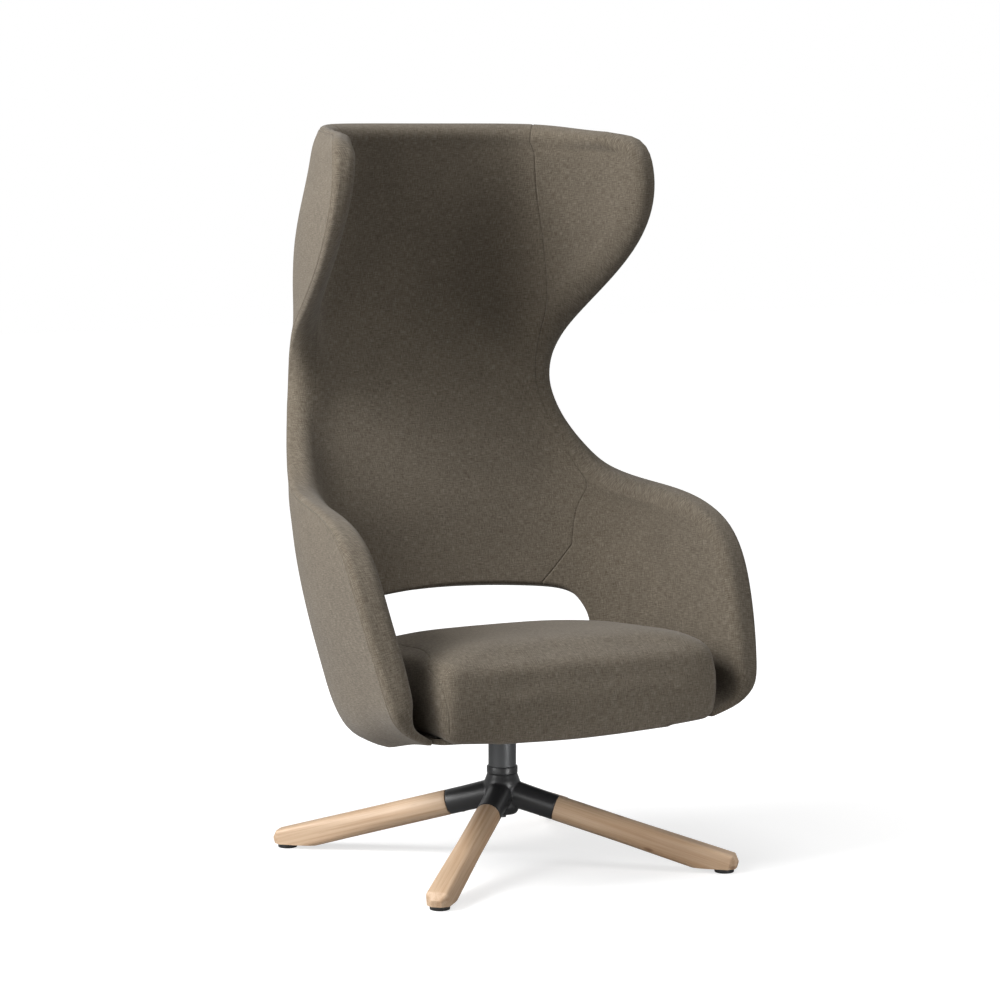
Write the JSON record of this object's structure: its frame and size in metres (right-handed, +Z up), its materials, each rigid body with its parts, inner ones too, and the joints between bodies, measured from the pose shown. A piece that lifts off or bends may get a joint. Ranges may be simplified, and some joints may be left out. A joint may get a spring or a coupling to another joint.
{
  "type": "high back lounge chair",
  "caption": "High-backed swivel lounge chair: a winged padded shell with arms and a slot behind the loose seat cushion, on a column with splayed wooden legs.",
  "frame": {"origin": "on the floor under the middle of the whole chair", "axes": "+Z up, the chair faces -Y, +X to the sitter's left"},
  "size_m": [0.7924, 0.6734, 1.3204],
  "materials": {
    "wool_upholstery": "taupe melange wool weave, matt",
    "black_felt": "dark woven lining under the seat",
    "steel_frame": "plain steel, zinc plated",
    "column_steel": "dark grey satin powder coat",
    "bright_steel": "zinc plated",
    "bush_plastic": "natural acetal",
    "black_casting": "black satin powder coat on cast aluminium",
    "oak": "pale oak, matt lacquer",
    "glide_plastic": "black polyamide"
  },
  "bodies": {
    "base": {"column_tube": "column_steel", "thrust_bearing": "bright_steel", "hub_screw": "bright_steel", "hub_washer": "bright_steel", "leg_screw_front_left": "bright_steel", "leg_screw_front_right": "bright_steel", "leg_screw_rear_left": "bright_steel", "leg_screw_rear_right": "bright_steel", "upper_bush": "bush_plastic", "lower_bush": "bush_plastic", "hub_casting": "black_casting", "column_collar": "black_casting", "leg_front_left": "oak", "leg_front_right": "oak", "leg_rear_left": "oak", "leg_rear_right": "oak", "glide_front_left": "glide_plastic", "glide_front_right": "glide_plastic", "glide_rear_left": "glide_plastic", "glide_rear_right": "glide_plastic"},
    "seat": {"outer_shell": "wool_upholstery", "back_pad": "wool_upholstery", "wing_pad_left": "wool_upholstery", "wing_pad_right": "wool_upholstery", "arm_pad_left": "wool_upholstery", "arm_pad_right": "wool_upholstery", "seat_cushion": "wool_upholstery", "seat_pan": "black_felt", "shell_frame": "steel_frame", "seat_plate": "steel_frame", "spindle": "bright_steel", "spindle_bolt": "bright_steel", "spindle_clip": "bright_steel", "rim_screw_rear_left": "bright_steel", "rim_screw_side_left": "bright_steel", "rim_screw_rear_right": "bright_steel", "rim_screw_side_right": "bright_steel", "plate_bolt_front_left": "bright_steel", "plate_bolt_front_right": "bright_steel", "plate_bolt_rear_left": "bright_steel", "plate_bolt_rear_right": "bright_steel"}
  },
  "joints": [
    {"name": "seat_swivel", "type": "hinge", "parent": "base", "child": "seat", "pos_m": [0, -0.02325, 0.2], "axis": [0, 0, 1], "continuous": true}
  ]
}
